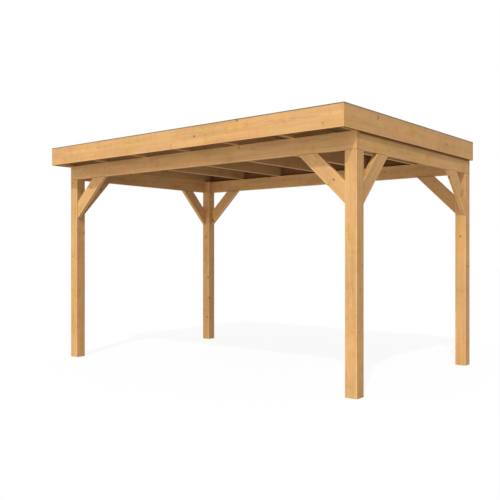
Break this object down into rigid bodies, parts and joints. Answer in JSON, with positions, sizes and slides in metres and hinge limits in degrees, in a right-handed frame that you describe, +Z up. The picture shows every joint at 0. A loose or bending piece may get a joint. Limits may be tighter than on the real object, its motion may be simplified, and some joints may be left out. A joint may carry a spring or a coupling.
{
  "type": "garden veranda",
  "caption": "Free-standing timber garden veranda, an open frame of square posts with corner braces, beams and a flat boarded roof behind deep fascia boards.",
  "frame": {"origin": "ground level under the middle of the roof's outline", "axes": "+X along the long front to the right, +Y to the back, +Z up"},
  "size_m": [4.004, 2.704, 2.466],
  "materials": {
    "timber": "planed softwood with a light honey stain",
    "fascia": "planed softwood with a light honey stain",
    "boards": "planed softwood boards with a dark brown stain",
    "roof_sheet": "matt",
    "trim": "satin, painted olive brown"
  },
  "bodies": {
    "root": {"post_front_left": "timber", "post_front_right": "timber", "post_back_left": "timber", "post_back_right": "timber", "beam_front": "timber", "beam_back": "timber", "beam_left": "timber", "beam_right": "timber", "row_brace_front_left": "timber", "row_brace_front_right": "timber", "row_brace_back_left": "timber", "row_brace_back_right": "timber", "side_brace_front_left": "timber", "side_brace_front_right": "timber", "side_brace_back_left": "timber", "side_brace_back_right": "timber", "rafter_1": "timber", "rafter_2": "timber", "rafter_3": "timber", "rafter_4": "timber", "rafter_5": "timber", "rafter_6": "timber", "rafter_7": "timber", "roof_deck": "boards", "roof_sheet": "roof_sheet", "fascia_front": "fascia", "fascia_back": "fascia", "fascia_left": "fascia", "fascia_right": "fascia", "edge_trim_front": "trim", "edge_trim_back": "trim", "edge_trim_left": "trim", "edge_trim_right": "trim"}
  },
  "joints": []
}
